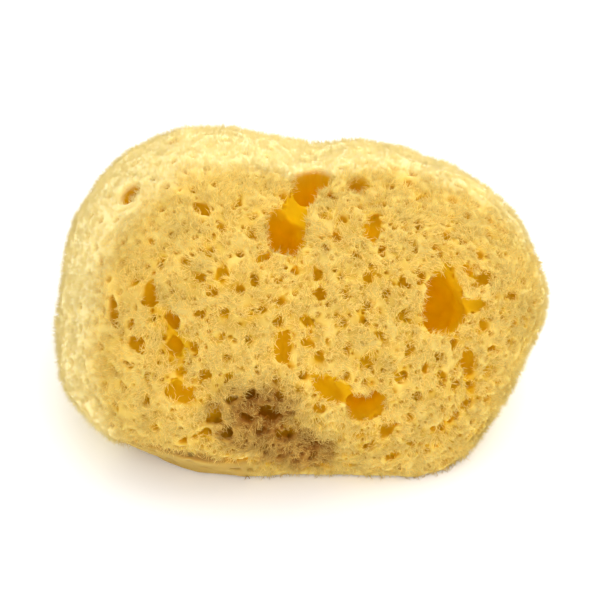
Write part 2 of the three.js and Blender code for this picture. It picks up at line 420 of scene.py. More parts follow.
@dataclass(frozen=True)
class Band:
    """The smooth foot under the fold, low on the left of the front.

    slope is that of its upper edge from left to right. Each pair is where a share of the band starts and where
    it is full: below the edge, in from the ends, and forward of the middle.
    """

    centre: tuple[float, float, float] = (-28.0 * MM, -42.5 * MM, 11.6 * MM)
    slope: float = -0.125
    edge: tuple[float, float] = (-0.2 * MM, -1.2 * MM)
    ends: tuple[float, float] = (19.0 * MM, 14.0 * MM)
    front: tuple[float, float] = (-22.0 * MM, -30.0 * MM)

    def share(self, x: np.ndarray, y: np.ndarray, z: np.ndarray) -> np.ndarray:
        """How far places belong to the band.

        Args:
            x: Their first coordinates.
            y: Their second coordinates.
            z: Their heights.

        Returns:
            A share from 0 to 1 for each place.
        """
        along = x - self.centre[0]
        under = smooth_step(*self.edge, z - self.centre[2] - self.slope * along)
        return under * smooth_step(*self.ends, np.abs(along)) * smooth_step(*self.front, y)


BAND = Band()


@dataclass(frozen=True)
class Groove:
    """A furrow that joins or lengthens the wide holes, in millimetres.

    Its middle runs through the places, and taper is the share of the radius left at the end of each stretch.
    """

    name: str
    places: tuple[tuple[float, float, float], ...]
    radius: float
    taper: float = 1.0


GROOVES = (
    Groove(
        "crown channel",
        ((2.2, 5.0, 59.8), (2.0, 2.5, 58.6), (-0.9, -6.0, 58.2), (-3.4, -12.5, 57.0)),
        radius=3.4,
    ),
    Groove(
        "right osculum's point",
        ((34.2, -21.6, 46.6), (34.2, -18.3, 50.4)),
        radius=2.2,
        taper=0.35,
    ),
    Groove(
        "right osculum's branch",
        ((36.2, -25.0, 43.4), (42.6, -22.4, 41.4)),
        radius=2.0,
        taper=0.7,
    ),
    Groove(
        "lower osculum's slot",
        ((4.1, -40.7, 34.2), (8.6, -40.6, 30.8), (12.5, -40.0, 27.0)),
        radius=1.8,
    ),
)


@dataclass
class Skeleton:
    """The porous mass itself.

    The solid's surface lies at the tips of the fibres, so the skeleton's lies a pile's height inside it. The
    wide holes, pits and larger pores come from the solid, and the small pores are bored between them.
    """

    # The lattices: a fine one for the shape, and a wide one for the depth below the cover.
    cell: float = 0.4 * MM
    band: int = 10
    closing: float = 2.0 * MM
    wide_cell: float = 1.2 * MM
    wide_closing: float = 9.0 * MM
    flatness: float = 0.02

    # The pile's height over the open side, the velvety side and the flat base, and the lumps under it, each with
    # a size and a height. The velvety side has a share of the lumps. Pile and lumps come in over base_rise, and
    # the foot is bare below base_cut.
    pile: float = 1.1 * MM
    velvet_pile: float = 0.6 * MM
    velvet_lumps: float = 0.05
    base_pile: float = 0.15 * MM
    base_rise: float = 3.0 * MM
    base_cut: tuple[float, float] = (1.0 * MM, 0.3 * MM)
    lumps: tuple[tuple[float, float], ...] = ((3.6 * MM, 0.45 * MM), (1.5 * MM, 0.3 * MM))

    # How much wider the holes are than in the solid, and how much wider still over a range of depths.
    pit_widening: float = 0.45 * MM
    pit_deepening: float = 0.35 * MM
    deepening: tuple[float, float] = (1.2 * MM, 3.0 * MM)
    rim_rounding: float = 0.6 * MM

    # The small pores. Each is two canals, with a size and a distance from the middle. Ranges are shares of the
    # texture's sizes.
    pore_clearance: float = 0.85 * MM
    pore_deepest: float = 3.2 * MM
    most_band: float = 0.2
    gap_range: tuple[float, float] = (0.85, 1.35)
    mouth_range: tuple[float, float] = (0.75, 1.25)
    depth_range: tuple[float, float] = (0.6, 1.2)
    twins: tuple[tuple[float, float], ...] = ((1.0, 0.35 * MM), (0.75, 0.525 * MM))
    pore_taper: float = 0.4
    pore_rounding: float = 0.5 * MM
    pore_lean: float = 0.3

    # What the finish is told: the skeleton's tone, and how pale it is down to a depth. The paleness is partly
    # painted
    # light: paler at the cover and darker below it, where the holes shade it.
    # The low tone paints the skeleton darker than the fibres, evening out its brighter subsurface light: painted
    # light.
    tone: float = 0.1
    tip: float = 0.7
    tip_depth: float = 2.4 * MM
    seed: int = 5

    lattice: Lattice = field(init=False)
    envelope: np.ndarray = field(init=False)
    form: np.ndarray = field(init=False)
    wide_lattice: Lattice = field(init=False)
    cover: np.ndarray = field(init=False)

    def measure(self) -> np.ndarray:
        """Reads the solid, and works out the envelope over its pores and the cover over its widest holes.

        Returns:
            The distance to the solid.
        """
        self.wide_lattice, _, self.cover = self.closed(self.wide_cell, self.wide_closing)
        self.lattice, solid, self.envelope = self.closed(self.cell, self.closing)
        return solid

    def closed(self, cell: float, closing: float) -> tuple[Lattice, np.ndarray, np.ndarray]:
        """Closes the solid's holes up to a width.

        Args:
            cell: The side of the cubes to work in.
            closing: Half the width of the widest hole that is closed.

        Returns:
            The lattice, the distance to the solid, and the distance to the closed solid.
        """
        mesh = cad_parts[NODE].data
        solid = level_set(points_of(mesh), triangles_of(mesh), cell, int(closing / cell) + self.band // 2)
        low, high = (np.array(corner) for corner in solid.evalActiveVoxelBoundingBox())
        lattice = Lattice(cell, low, tuple(int(n) for n in high - low + 1))
        points, _, quads = solid.convertToPolygons(isovalue=closing, adaptivity=0.0)
        outside = level_set(points, quads, cell, int(closing / cell) + self.band)
        return lattice, lattice.read(solid), lattice.read(outside) + closing

    def cut(self, points: np.ndarray) -> np.ndarray:
        """How far each point belongs to the bare foot of the sponge."""
        return np.maximum(BAND.share(*points.T), smooth_step(*self.base_cut, points[:, 2]))

    def depth(self, points: np.ndarray) -> np.ndarray:
        """How far below the cover each point is."""
        return -self.wide_lattice.sample(self.cover, points)

    def shape(self, solid: np.ndarray) -> None:
        """Joins the pulled-in envelope with the solid's holes, and roughens both.

        Args:
            solid: The distance to the solid.
        """
        rng = np.random.default_rng(self.seed)
        rough = sum(height * self.lattice.noise(size, rng) for size, height in self.lumps)
        rise = smooth_step(0.0, self.base_rise, self.lattice.axis(2)).astype(np.float32)
        share = self.lattice.openness()
        pile = self.velvet_pile + (self.pile - self.velvet_pile) * share
        pile = self.base_pile + (pile - self.base_pile) * rise
        smooth = 1.0 - BAND.share(*self.lattice.places()).astype(np.float32)
        rough = rough * rise * smooth * (self.velvet_lumps + (1.0 - self.velvet_lumps) * share)
        skin = self.envelope + pile + rough
        widening = self.pit_deepening * smooth_step(*self.deepening, -self.envelope)
        pits = solid + (self.pit_widening + widening) * rise + rough
        self.form = smooth_largest(skin, pits, self.rim_rounding).astype(np.float32)
        for groove in GROOVES:
            places = np.array(groove.places) * MM
            for start, end in zip(places, places[1:]):
                self.lattice.carve(self.form, start, end, groove.radius * MM, groove.taper, self.rim_rounding)

    def bore(self, solid: np.ndarray) -> int:
        """Bores the small pores where the solid has none.

        Args:
            solid: The distance to the solid.

        Returns:
            How many pores there are.
        """
        rng = np.random.default_rng(self.seed + 1)
        points, _, _ = self.polygons(self.form, 0.0)
        keep = self.lattice.sample(solid, points) < -self.pore_clearance
        keep &= self.depth(points) < self.pore_deepest
        keep &= (points[:, 2] > self.base_rise) & (BAND.share(*points.T) < self.most_band)
        points = points[keep]
        inwards = -self.lattice.slope(self.envelope, points, 2 * self.cell)
        shares = openness(points)
        gaps = between(shares, "pore_gap")
        tree = KDTree(len(points))
        for number, point in enumerate(points):
            tree.insert(point, number)
        tree.balance()
        free = np.ones(len(points), bool)
        count = 0
        for number in rng.permutation(len(points)):
            if not free[number]:
                continue
            gap = gaps[number] * rng.uniform(*self.gap_range)
            for _, near, _ in tree.find_range(points[number], gap):
                free[near] = False
            self.bore_pore(points[number], inwards[number], shares[number], rng)
            count += 1
        return count

    def bore_pore(
        self, middle: np.ndarray, inwards: np.ndarray, share: float, rng: np.random.Generator
    ) -> None:
        """Bores one small pore.

        Args:
            middle: Its place on the surface.
            inwards: The way into the sponge there.
            share: The openness there.
            rng: The random source.
        """
        radius = between(share, "pore_mouth") * rng.uniform(*self.mouth_range)
        depth = between(share, "pore_depth") * rng.uniform(*self.depth_range)
        for size, apart in self.twins:
            run = inwards + rng.normal(0.0, self.pore_lean, 3)
            run /= np.linalg.norm(run)
            place = middle + rng.normal(0.0, apart, 3)
            mouth, end = place - run * radius * size, place + run * depth * size
            self.lattice.carve(self.form, mouth, end, radius * size, self.pore_taper, self.pore_rounding)

    def polygons(self, values: np.ndarray, flatness: float) -> tuple[np.ndarray, np.ndarray, np.ndarray]:
        """The surface where a field is zero.

        Args:
            values: The field.
            flatness: How readily level stretches are given larger faces, from 0 to 1.

        Returns:
            The vertices, triangles and quads.
        """
        grid = vdb.FloatGrid(float(values.max()))
        grid.copyFromArray(values, ijk=tuple(int(n) for n in self.lattice.low))
        grid.transform = vdb.createLinearTransform(voxelSize=self.cell)
        return grid.convertToPolygons(isovalue=0.0, adaptivity=flatness)

    def build(self, finish: "SpongeFinish") -> bpy.types.Object:
        """Makes the skeleton's piece.

        Args:
            finish: Its finish.

        Returns:
            The new object.
        """
        solid = self.measure()
        self.shape(solid)
        log.info("small pores: %d", self.bore(solid))
        points, triangles, quads = self.polygons(self.form, self.flatness)
        log.info("surface: %d triangles", len(triangles) + 2 * len(quads))
        mesh = new_mesh("skeleton", points, triangles[:, ::-1], quads[:, ::-1])
        self.thin(mesh)
        points = points_of(mesh)
        set_values(mesh, "depth", self.depth(points) / MM)
        set_values(mesh, "cut", self.cut(points))
        set_values(mesh, "tip", self.tip * smooth_step(self.tip_depth, 0.0, self.depth(points)))
        set_values(mesh, "tone", np.full(len(points), self.tone))
        set_values(mesh, "velvet", 1.0 - openness(points))
        return add_piece("skeleton", mesh, finish.material())

    def thin(self, mesh: bpy.types.Mesh) -> None:
        """Joins faces until the mesh is under the limit.

        Args:
            mesh: The mesh, changed in place.
        """
        count = len(triangles_of(mesh))
        if count <= TRIANGLE_LIMIT:
            return
        holder = bpy.data.objects.new("thinning", mesh)
        bpy.context.scene.collection.objects.link(holder)
        holder.modifiers.new("fewer", "DECIMATE").ratio = TRIANGLE_LIMIT / count
        thinned = bpy.data.meshes.new_from_object(holder.evaluated_get(bpy.context.evaluated_depsgraph_get()))
        bpy.data.objects.remove(holder)
        mesh.clear_geometry()
        corners = triangles_of(thinned)
        points = points_of(thinned)
        mesh.vertices.add(len(points))
        mesh.vertices.foreach_set("co", points.ravel())
        mesh.loops.add(corners.size)
        mesh.loops.foreach_set("vertex_index", corners.ravel())
        mesh.polygons.add(len(corners))
        mesh.polygons.foreach_set("loop_start", np.arange(0, corners.size, 3, dtype=np.int32))
        mesh.polygons.foreach_set("use_smooth", np.ones(len(corners), bool))
        mesh.update(calc_edges=True)
        bpy.data.meshes.remove(thinned)


class Habit(Enum):
    """How a fibre grows: straight to its tip, or bent over part of the way up."""

    STRAIGHT = "straight"
    BENT = "bent"


@dataclass(frozen=True)
class FibreSort:
    """One sort of fibre and how it stands in tufts.

    length and thickness are shares of the texture's, and velvet and open are how thickly it stands on either
    kind of surface. overshoot is about how far its tips end past the solid, and the palenesses run from 0, the
    skeleton's honey, to 1, the palest tip. This is partly the fibre's own paler tip and partly painted light:
    the roots are kept darker gold where the pile shades them.
    """

    name: str
    habit: Habit
    tufts: int
    tuft_size: int
    tuft_spread: float
    fan: float
    length: float
    thickness: float
    velvet: float
    open: float
    overshoot: float
    root_paleness: float
    tip_paleness: float
    seed: int


NAP = [
    FibreSort(
        name=f"nap_{number}",
        habit=Habit.STRAIGHT,
        tufts=8_200,
        tuft_size=6,
        tuft_spread=0.34 * MM,
        fan=0.3,
        length=1.0,
        thickness=1.0,
        velvet=1.0,
        open=0.06,
        overshoot=1.0 * MM,
        root_paleness=0.3,
        tip_paleness=0.9,
        seed=100 + number,
    )
    for number in (1, 2)
]
FRINGE = [
    FibreSort(
        name=f"fringe_{number}",
        habit=Habit.BENT,
        tufts=3_900,
        tuft_size=5,
        tuft_spread=0.3 * MM,
        fan=0.45,
        length=1.2,
        thickness=1.35,
        velvet=0.12,
        open=1.0,
        overshoot=1.0 * MM,
        root_paleness=0.35,
        tip_paleness=1.0,
        seed=200 + number,
    )
    for number in (1, 2)
]


@dataclass
class Pile:
    """The fibres that stand on the skeleton, in tufts, from its surface to the solid's.

    Each fibre is a closed spike with three sides. Its shading follows the sponge's form more than its own
    sides, as that of a soft pile does.
    """

    skeleton: Skeleton
    seed: int = 30

    # Where the tufts stand: down to a depth below the cover, above a height from the floor, and in patches.
    shallow: float = 1.5 * MM
    deepest: float = 2.5 * MM
    lowest: float = 1.2 * MM
    patch_size: float = 5.0 * MM
    patchiness: float = 0.15
    thinnest: float = 0.05

    # How they lean: together from place to place, and each a little of its own.
    sweep_size: float = 7.0 * MM
    sweep: float = 1.4
    straying: float = 0.3
    least_rise: float = 0.3

    # Each fibre. Ranges are shares of its sort's sizes, and the spare ones are lowest, likeliest and highest.
    sunk: float = 0.2 * MM
    most_sunk: float = 0.6 * MM
    least_length: float = 0.3 * MM
    length_range: tuple[float, float] = (0.45, 1.15)
    spare_range: tuple[float, float, float] = (-0.3, 0.5, 2.2)
    radius_range: tuple[float, float] = (0.75, 1.25)
    bend: float = 0.9
    waist: float = 0.75
    floor_gap: float = 0.05 * MM

    def roots(self, mesh: bpy.types.Mesh, sort: FibreSort, rng: np.random.Generator) -> np.ndarray:
        """Random places on the skeleton's outside, one for each tuft.

        Args:
            mesh: The skeleton's mesh.
            sort: The fibres that will stand there.
            rng: The random source.

        Returns:
            The places, one row each.
        """
        points = points_of(mesh)
        corners = triangles_of(mesh)
        a, b, c = (points[corners[:, n]] for n in range(3))
        area = np.linalg.norm(np.cross(b - a, c - a), axis=1)
        middle = (a + b + c) / 3
        area *= smooth_step(self.deepest, self.shallow, self.skeleton.depth(middle))
        area *= (1.0 - BAND.share(*middle.T)) * (middle[:, 2] > self.lowest)
        area *= sort.velvet + (sort.open - sort.velvet) * openness(middle)
        area *= np.clip(1.0 + self.patchiness * self.patches(middle), self.thinnest, None)
        chosen = rng.choice(len(corners), sort.tufts, p=area / area.sum())
        u, v = rng.random((2, sort.tufts, 1))
        over = u + v > 1.0
        u, v = np.where(over, 1.0 - u, u), np.where(over, 1.0 - v, v)
        return a[chosen] + u * (b - a)[chosen] + v * (c - a)[chosen]

    def grow(self, mesh: bpy.types.Mesh, sort: FibreSort, finish: "SpongeFinish") -> bpy.types.Object:
        """Makes one piece of the pile.

        Args:
            mesh: The skeleton's mesh.
            sort: The sort of fibre.
            finish: Its finish.

        Returns:
            The new object.
        """
        rng = np.random.default_rng(sort.seed)
        lattice, envelope = self.skeleton.lattice, self.skeleton.envelope
        middles = self.roots(mesh, sort, rng)
        share = openness(middles)
        outwards = lattice.slope(envelope, middles, 4 * lattice.cell)
        sideways = self.swept(middles) + rng.normal(0.0, self.straying, outwards.shape)
        leaning = unit(outwards + sideways * between(share, "lean")[:, None])
        tufts = (middles, share, outwards, leaning)
        middles, share, normal, leaning = (np.repeat(values, sort.tuft_size, axis=0) for values in tufts)
        count = len(middles)
        foot = middles + self.flattened(rng.normal(0.0, sort.tuft_spread, (count, 3)), normal)
        height = lattice.sample(self.skeleton.form, foot)
        foot = foot - normal * np.clip(height, -self.sunk, self.most_sunk)[:, None]
        towards = self.raised(unit(leaning + rng.normal(0.0, sort.fan, (count, 3))), normal)
        length = between(share, "fibre_length") * sort.length * rng.uniform(*self.length_range, count)
        spare = sort.overshoot * rng.triangular(*self.spare_range, count)
        room = (spare - lattice.sample(envelope, foot)) / (towards * normal).sum(1)
        length = np.clip(length, self.least_length, np.maximum(room, self.least_length))[:, None]
        radius = between(share, "fibre_radius")[:, None] * sort.thickness
        radius = radius * rng.uniform(*self.radius_range, (count, 1))
        stops = [foot - towards * self.sunk]
        tip = foot + towards * length
        if sort.habit is Habit.BENT:
            stops.append(foot + towards * length / 2)
            turned = self.raised(unit(towards + rng.normal(0.0, self.bend, (count, 3))), normal)
            tip = stops[1] + turned * length / 2
        points, faces = self.spikes(stops, tip, radius, rng)
        fibres = new_mesh(sort.name, points, faces)
        each = len(points) // count
        middle = np.repeat(np.mean(stops, axis=0), each, axis=0)
        form = np.repeat(between(share, "softness")[:, None] * normal, each, axis=0)
        fibres.normals_split_custom_set_from_vertices(unit(unit(points - middle) + form))
        # Painted light in part: each fibre is paler towards its tip and darker gold towards its root, where the
        # pile shades it.
        paleness = np.linspace(sort.root_paleness, sort.tip_paleness, len(stops) + 1)
        paleness = np.repeat(paleness, [3] * len(stops) + [1])
        set_values(fibres, "depth", self.skeleton.depth(points) / MM)
        set_values(fibres, "cut", self.skeleton.cut(points))
        set_values(fibres, "tip", np.tile(paleness, count))
        set_values(fibres, "tone", np.repeat(rng.random(count), each))
        set_values(fibres, "velvet", np.repeat(1.0 - share, each))
        return add_piece(sort.name, fibres, finish.material())

    def patches(self, points: np.ndarray) -> np.ndarray:
        """How much thicker than elsewhere the fibres stand near each point, from -1 to 1."""
        lattice = self.skeleton.wide_lattice
        return lattice.sample(lattice.noise(self.patch_size, np.random.default_rng(self.seed + 1)), points)

    def swept(self, points: np.ndarray) -> np.ndarray:
        """The way in which the tufts near each point lean, which changes slowly from place to place.

        Args:
            points: The places.

        Returns:
            One vector for each point.
        """
        rng = np.random.default_rng(self.seed)
        lattice = self.skeleton.wide_lattice
        ways = [lattice.sample(lattice.noise(self.sweep_size, rng), points) for _ in range(3)]
        return self.sweep * np.stack(ways, axis=1)

    def flattened(self, vectors: np.ndarray, normal: np.ndarray) -> np.ndarray:
        """The part of each vector that lies along the surface."""
        return vectors - normal * (vectors * normal).sum(1, keepdims=True)

    def raised(self, towards: np.ndarray, normal: np.ndarray) -> np.ndarray:
        """Turns directions outwards until they rise from the surface.

        Args:
            towards: The directions.
            normal: The way out of the surface at each.

        Returns:
            One unit vector for each direction.
        """
        rise = (towards * normal).sum(1, keepdims=True)
        return unit(self.flattened(towards, normal) + normal * np.maximum(rise, self.least_rise))

    def spikes(
        self, stops: list[np.ndarray], tip: np.ndarray, radius: np.ndarray, rng: np.random.Generator
    ) -> tuple[np.ndarray, np.ndarray]:
        """Lays a ring of three points round each stop of each fibre, and closes the rings to its tip.

        Args:
            stops: The middles of the rings, from the foot up, each with one row for each fibre.
            tip: The tips.
            radius: The radius of the first ring; the next is the waist's share of it.
            rng: The random source.

        Returns:
            The vertices and triangles.
        """
        run = unit(tip - stops[0])
        across = unit(np.cross(run, rng.normal(0.0, 1.0, run.shape)))
        other = np.cross(run, across)
        rows = []
        for level, stop in enumerate(stops):
            for side in range(3):
                angle = 2 * math.pi * side / 3
                way = across * math.cos(angle) + other * math.sin(angle)
                rows.append(stop + radius * self.waist**level * way)
        rows.append(tip)
        points = np.stack(rows, axis=1)
        points[:, :, 2] = np.maximum(points[:, :, 2], self.floor_gap)
        corners = [[2, 1, 0]]
        for low in range(0, 3 * (len(stops) - 1), 3):
            for side in range(3):
                a, b = low + side, low + (side + 1) % 3
                corners += [[a, b, b + 3], [a, b + 3, a + 3]]
        top = 3 * (len(stops) - 1)
        corners += [[top + side, top + (side + 1) % 3, top + 3] for side in range(3)]
        first = len(rows) * np.arange(len(tip))[:, None, None]
        return points.reshape(-1, 3), (first + np.array(corners)).reshape(-1, 3)


Socket = bpy.types.NodeSocket
Colour = tuple[float, float, float, float]

BLACK: Colour = (0.0, 0.0, 0.0, 1.0)
WHITE: Colour = (1.0, 1.0, 1.0, 1.0)


def light(value: int) -> float:
    """How much light one channel of a screen gives, from 0 to 1, by the usual sRGB curve.

    Args:
        value: The channel, from 0 to 255.

    Returns:
        Its light.
    """
    share = value / 255
    return share / 12.92 if share <= 0.04045 else ((share + 0.055) / 1.055) ** 2.4


def linear(red: int, green: int, blue: int) -> Colour:
    """A colour of the screen, from 0 to 255, as the renderer's light with full opacity."""
    return light(red), light(green), light(blue), 1.0


class Sheet:
    """A node tree that is being laid out, with a method for each kind of node in it."""

    def __init__(self, tree: bpy.types.NodeTree) -> None:
        """Starts on an empty tree."""
        self.tree = tree
        tree.nodes.clear()

    def feed(self, socket: Socket, value: object) -> None:
        """Links a socket to another, or sets it to a plain value.

        Args:
            socket: The input socket.
            value: An output socket or a plain value.
        """
        if isinstance(value, Socket):
            self.tree.links.new(value, socket)
        else:
            socket.default_value = value

    def attribute(self, name: str) -> Socket:
        """Reads one of the values kept for each vertex.

        Args:
            name: The attribute's name.

        Returns:
            The value.
        """
        node = self.tree.nodes.new("ShaderNodeAttribute")
        node.attribute_name = name
        return node.outputs["Fac"]

    def blend(self, share: object, start: object, end: object, way: str = "MIX") -> Socket:
        """Mixes two colours.

        Args:
            share: How much of the second one there is.
            start: The first colour.
            end: The second colour.
            way: The mix node's blend type.

        Returns:
            The mixed colour.
        """
        node = self.tree.nodes.new("ShaderNodeMix")
        node.data_type = "RGBA"
        node.blend_type = way
        self.feed(node.inputs["Factor"], share)
        self.feed(node.inputs[6], start)
        self.feed(node.inputs[7], end)
        return node.outputs[2]

    def fade(self, value: object, start: float, end: float, low: float = 0.0, high: float = 1.0) -> Socket:
        """Turns a range of values into a smooth rise.

        Args:
            value: The values.
            start: Where the rise starts.
            end: Where it ends.
            low: What it rises from.
            high: What it rises to.

        Returns:
            The result.
        """
        node = self.tree.nodes.new("ShaderNodeMapRange")
        node.interpolation_type = "SMOOTHSTEP"
        parts = {"Value": value, "From Min": start, "From Max": end, "To Min": low, "To Max": high}
        for name, part in parts.items():
            self.feed(node.inputs[name], part)
        return node.outputs["Result"]

    def maths(self, operation: str, first: object, second: object) -> Socket:
        """Works out one sum on two values.

        Args:
            operation: The sum, as the node names it.
            first: The first value.
            second: The second value.

        Returns:
            The result.
        """
        node = self.tree.nodes.new("ShaderNodeMath")
        node.operation = operation
        self.feed(node.inputs[0], first)
        self.feed(node.inputs[1], second)
        return node.outputs["Value"]

    def distance(self, place: Socket, centre: tuple[float, float, float]) -> Socket:
        """Measures how far each place is from a fixed one.

        Args:
            place: The places.
            centre: The fixed one.

        Returns:
            The distance.
        """
        node = self.tree.nodes.new("ShaderNodeVectorMath")
        node.operation = "DISTANCE"
        self.feed(node.inputs[0], place)
        self.feed(node.inputs[1], centre)
        return node.outputs["Value"]

    def noise(self, place: Socket, scale: object, detail: float) -> Socket:
        """Makes soft random values.

        Args:
            place: Where they are read.
            scale: How many lumps there are to a metre.
            detail: How many finer layers there are.

        Returns:
            Values from 0 to 1.
        """
        node = self.tree.nodes.new("ShaderNodeTexNoise")
        for name, value in (("Vector", place), ("Scale", scale), ("Detail", detail)):
            self.feed(node.inputs[name], value)
        return node.outputs["Fac"]

    def group(self, tree: bpy.types.NodeTree, **inputs: object) -> bpy.types.Node:
        """Adds a node group.

        Args:
            tree: The group's tree.
            inputs: What its inputs are fed with, by name.

        Returns:
            The group's node.
        """
        node = self.tree.nodes.new("ShaderNodeGroup")
        node.node_tree = tree
        for name, value in inputs.items():
            self.feed(node.inputs[name], value)
        return node


def new_group(
    name: str, inputs: dict[str, str], outputs: dict[str, str]
) -> tuple[Sheet, dict[str, Socket], bpy.types.Node]:
    """Starts a node group.

    Args:
        name: The group's name.
        inputs: The kind of each input socket, by name.
        outputs: The kind of each output socket, by name.

    Returns:
        Its sheet, its inputs by name, and the node that its outputs are fed into.
    """
    tree = bpy.data.node_groups.new(name, "ShaderNodeTree")
    sheet = Sheet(tree)
    for side, sockets in (("INPUT", inputs), ("OUTPUT", outputs)):
        for label, kind in sockets.items():
            tree.interface.new_socket(label, in_out=side, socket_type=kind)
    source = tree.nodes.new("NodeGroupInput")
    return sheet, dict(source.outputs.items()), tree.nodes.new("NodeGroupOutput")


@dataclass(frozen=True)
class Palette:
    """The colours of dry sponge fibre, from its tips to the depth of its holes, and a painted shade low on the
    front.

    Deeper down the colour turns gold and then orange: partly the fibre's own colour, partly painted shade in the
    holes. Depths are in millimetres below the cover. A patch of the low painted shade is a place in metres and
    its radius.
    """

    # The pale tip colour is partly the fibres' own and partly a painted highlight.
    tip: Colour = linear(255, 232, 150)
    # Painted sheen: the pale colour that the velvety side is turned towards, for light shining through and off
    # its fuzz.
    velvet: Colour = linear(255, 240, 180)
    honey: Colour = linear(238, 186, 56)
    # Gold and orange deeper down: partly the fibre's own colour, partly painted shade in the pores and holes.
    gold_with_pore_shade: Colour = linear(238, 178, 18)
    orange_with_hollow_shade: Colour = linear(255, 188, 0)
    # Painted shade: the brown laid low on the front, where the form turns under.
    low_shade: Colour = linear(152, 90, 6)
    cut: Colour = linear(196, 158, 82)
    pore_shade_depth: tuple[float, float] = (1.0, 2.6)
    hollow_shade_depth: tuple[float, float] = (3.0, 8.0)
    tip_curve: float = 1.4

    # Blotches and the tone of each fibre together make the colour up to a mottle's share darker.
    mottle: float = 0.22
    mottled: tuple[float, float] = (0.6, 1.4)
    blotches: tuple[float, float] = (160.0, 2.0)
    blotch_weight: float = 1.4
    fibre_weight: float = 0.6

    # The painted shade low on the front has ragged edges, and is weaker on the tips than in the holes.
    low_shade_patches: tuple[tuple[tuple[float, float, float], float], ...] = (
        ((-0.010, -0.045, 0.024), 0.015),
        ((-0.001, -0.044, 0.012), 0.013),
    )
    low_shade_heart: float = 0.4
    rags: tuple[float, float] = (220.0, 3.0)
    raggedness: float = 12.0 * MM
    low_shade_depth: tuple[float, float] = (0.2, 1.8)
    least_low_shade: float = 0.45

    def tree(self) -> bpy.types.NodeTree:
        """The colour of the sponge at one place, as a node group that is made once."""
        return bpy.data.node_groups.get("sponge_colour") or self.make()

    def make(self) -> bpy.types.NodeTree:
        """Lays out the colour group.

        Returns:
            Its tree.
        """
        inputs = {"Place": "NodeSocketVector", "Depth": "NodeSocketFloat", "Tip": "NodeSocketFloat"}
        inputs |= {"Tone": "NodeSocketFloat", "Cut": "NodeSocketFloat"}
        sheet, given, result = new_group("sponge_colour", inputs, {"Color": "NodeSocketColor"})
        # Gold, then orange, deeper below the cover: partly painted shade in the holes.
        colour = sheet.blend(sheet.fade(given["Depth"], *self.pore_shade_depth), self.honey, self.gold_with_pore_shade)
        colour = sheet.blend(sheet.fade(given["Depth"], *self.hollow_shade_depth), colour, self.orange_with_hollow_shade)
        # Paler towards the tips and the cover: partly painted light.
        colour = sheet.blend(sheet.maths("POWER", given["Tip"], self.tip_curve), colour, self.tip)
        colour = sheet.blend(given["Cut"], colour, self.cut)
        mask = sheet.group(self.low_shade_tree(), Place=given["Place"], Depth=given["Depth"]).outputs["Mask"]
        # Painted shade: brown low on the front, strongest in the holes.
        colour = sheet.blend(mask, colour, self.low_shade)
        blotch = sheet.maths("MULTIPLY", sheet.noise(given["Place"], *self.blotches), self.blotch_weight)
        tone = sheet.maths("ADD", blotch, sheet.maths("MULTIPLY", given["Tone"], self.fibre_weight))
        shade = sheet.fade(tone, *self.mottled, 1.0 - self.mottle, 1.0)
        grey = sheet.tree.nodes.new("ShaderNodeCombineColor")
        for name in ("Red", "Green", "Blue"):
            sheet.feed(grey.inputs[name], shade)
        sheet.feed(result.inputs["Color"], sheet.blend(1.0, colour, grey.outputs["Color"], "MULTIPLY"))
        return sheet.tree

    def low_shade_tree(self) -> bpy.types.NodeTree:
        """Lays out the group that masks the painted shade low on the front, which is strongest in the holes.

        Returns:
            Its tree.
        """
        inputs = {"Place": "NodeSocketVector", "Depth": "NodeSocketFloat"}
        sheet, given, result = new_group("low_shade", inputs, {"Mask": "NodeSocketFloat"})
        ragged = sheet.maths("MULTIPLY", sheet.noise(given["Place"], *self.rags), self.raggedness)
        usual = self.raggedness / 2
        total: object = 0.0
        for centre, radius in self.low_shade_patches:
            away = sheet.maths("ADD", sheet.distance(given["Place"], centre), ragged)
            mask = sheet.fade(away, radius + usual, radius * self.low_shade_heart + usual)
            total = sheet.maths("MAXIMUM", total, mask)
        strength = sheet.fade(given["Depth"], *self.low_shade_depth, self.least_low_shade, 1.0)
        sheet.feed(result.inputs["Mask"], sheet.maths("MULTIPLY", total, strength))
        return sheet.tree


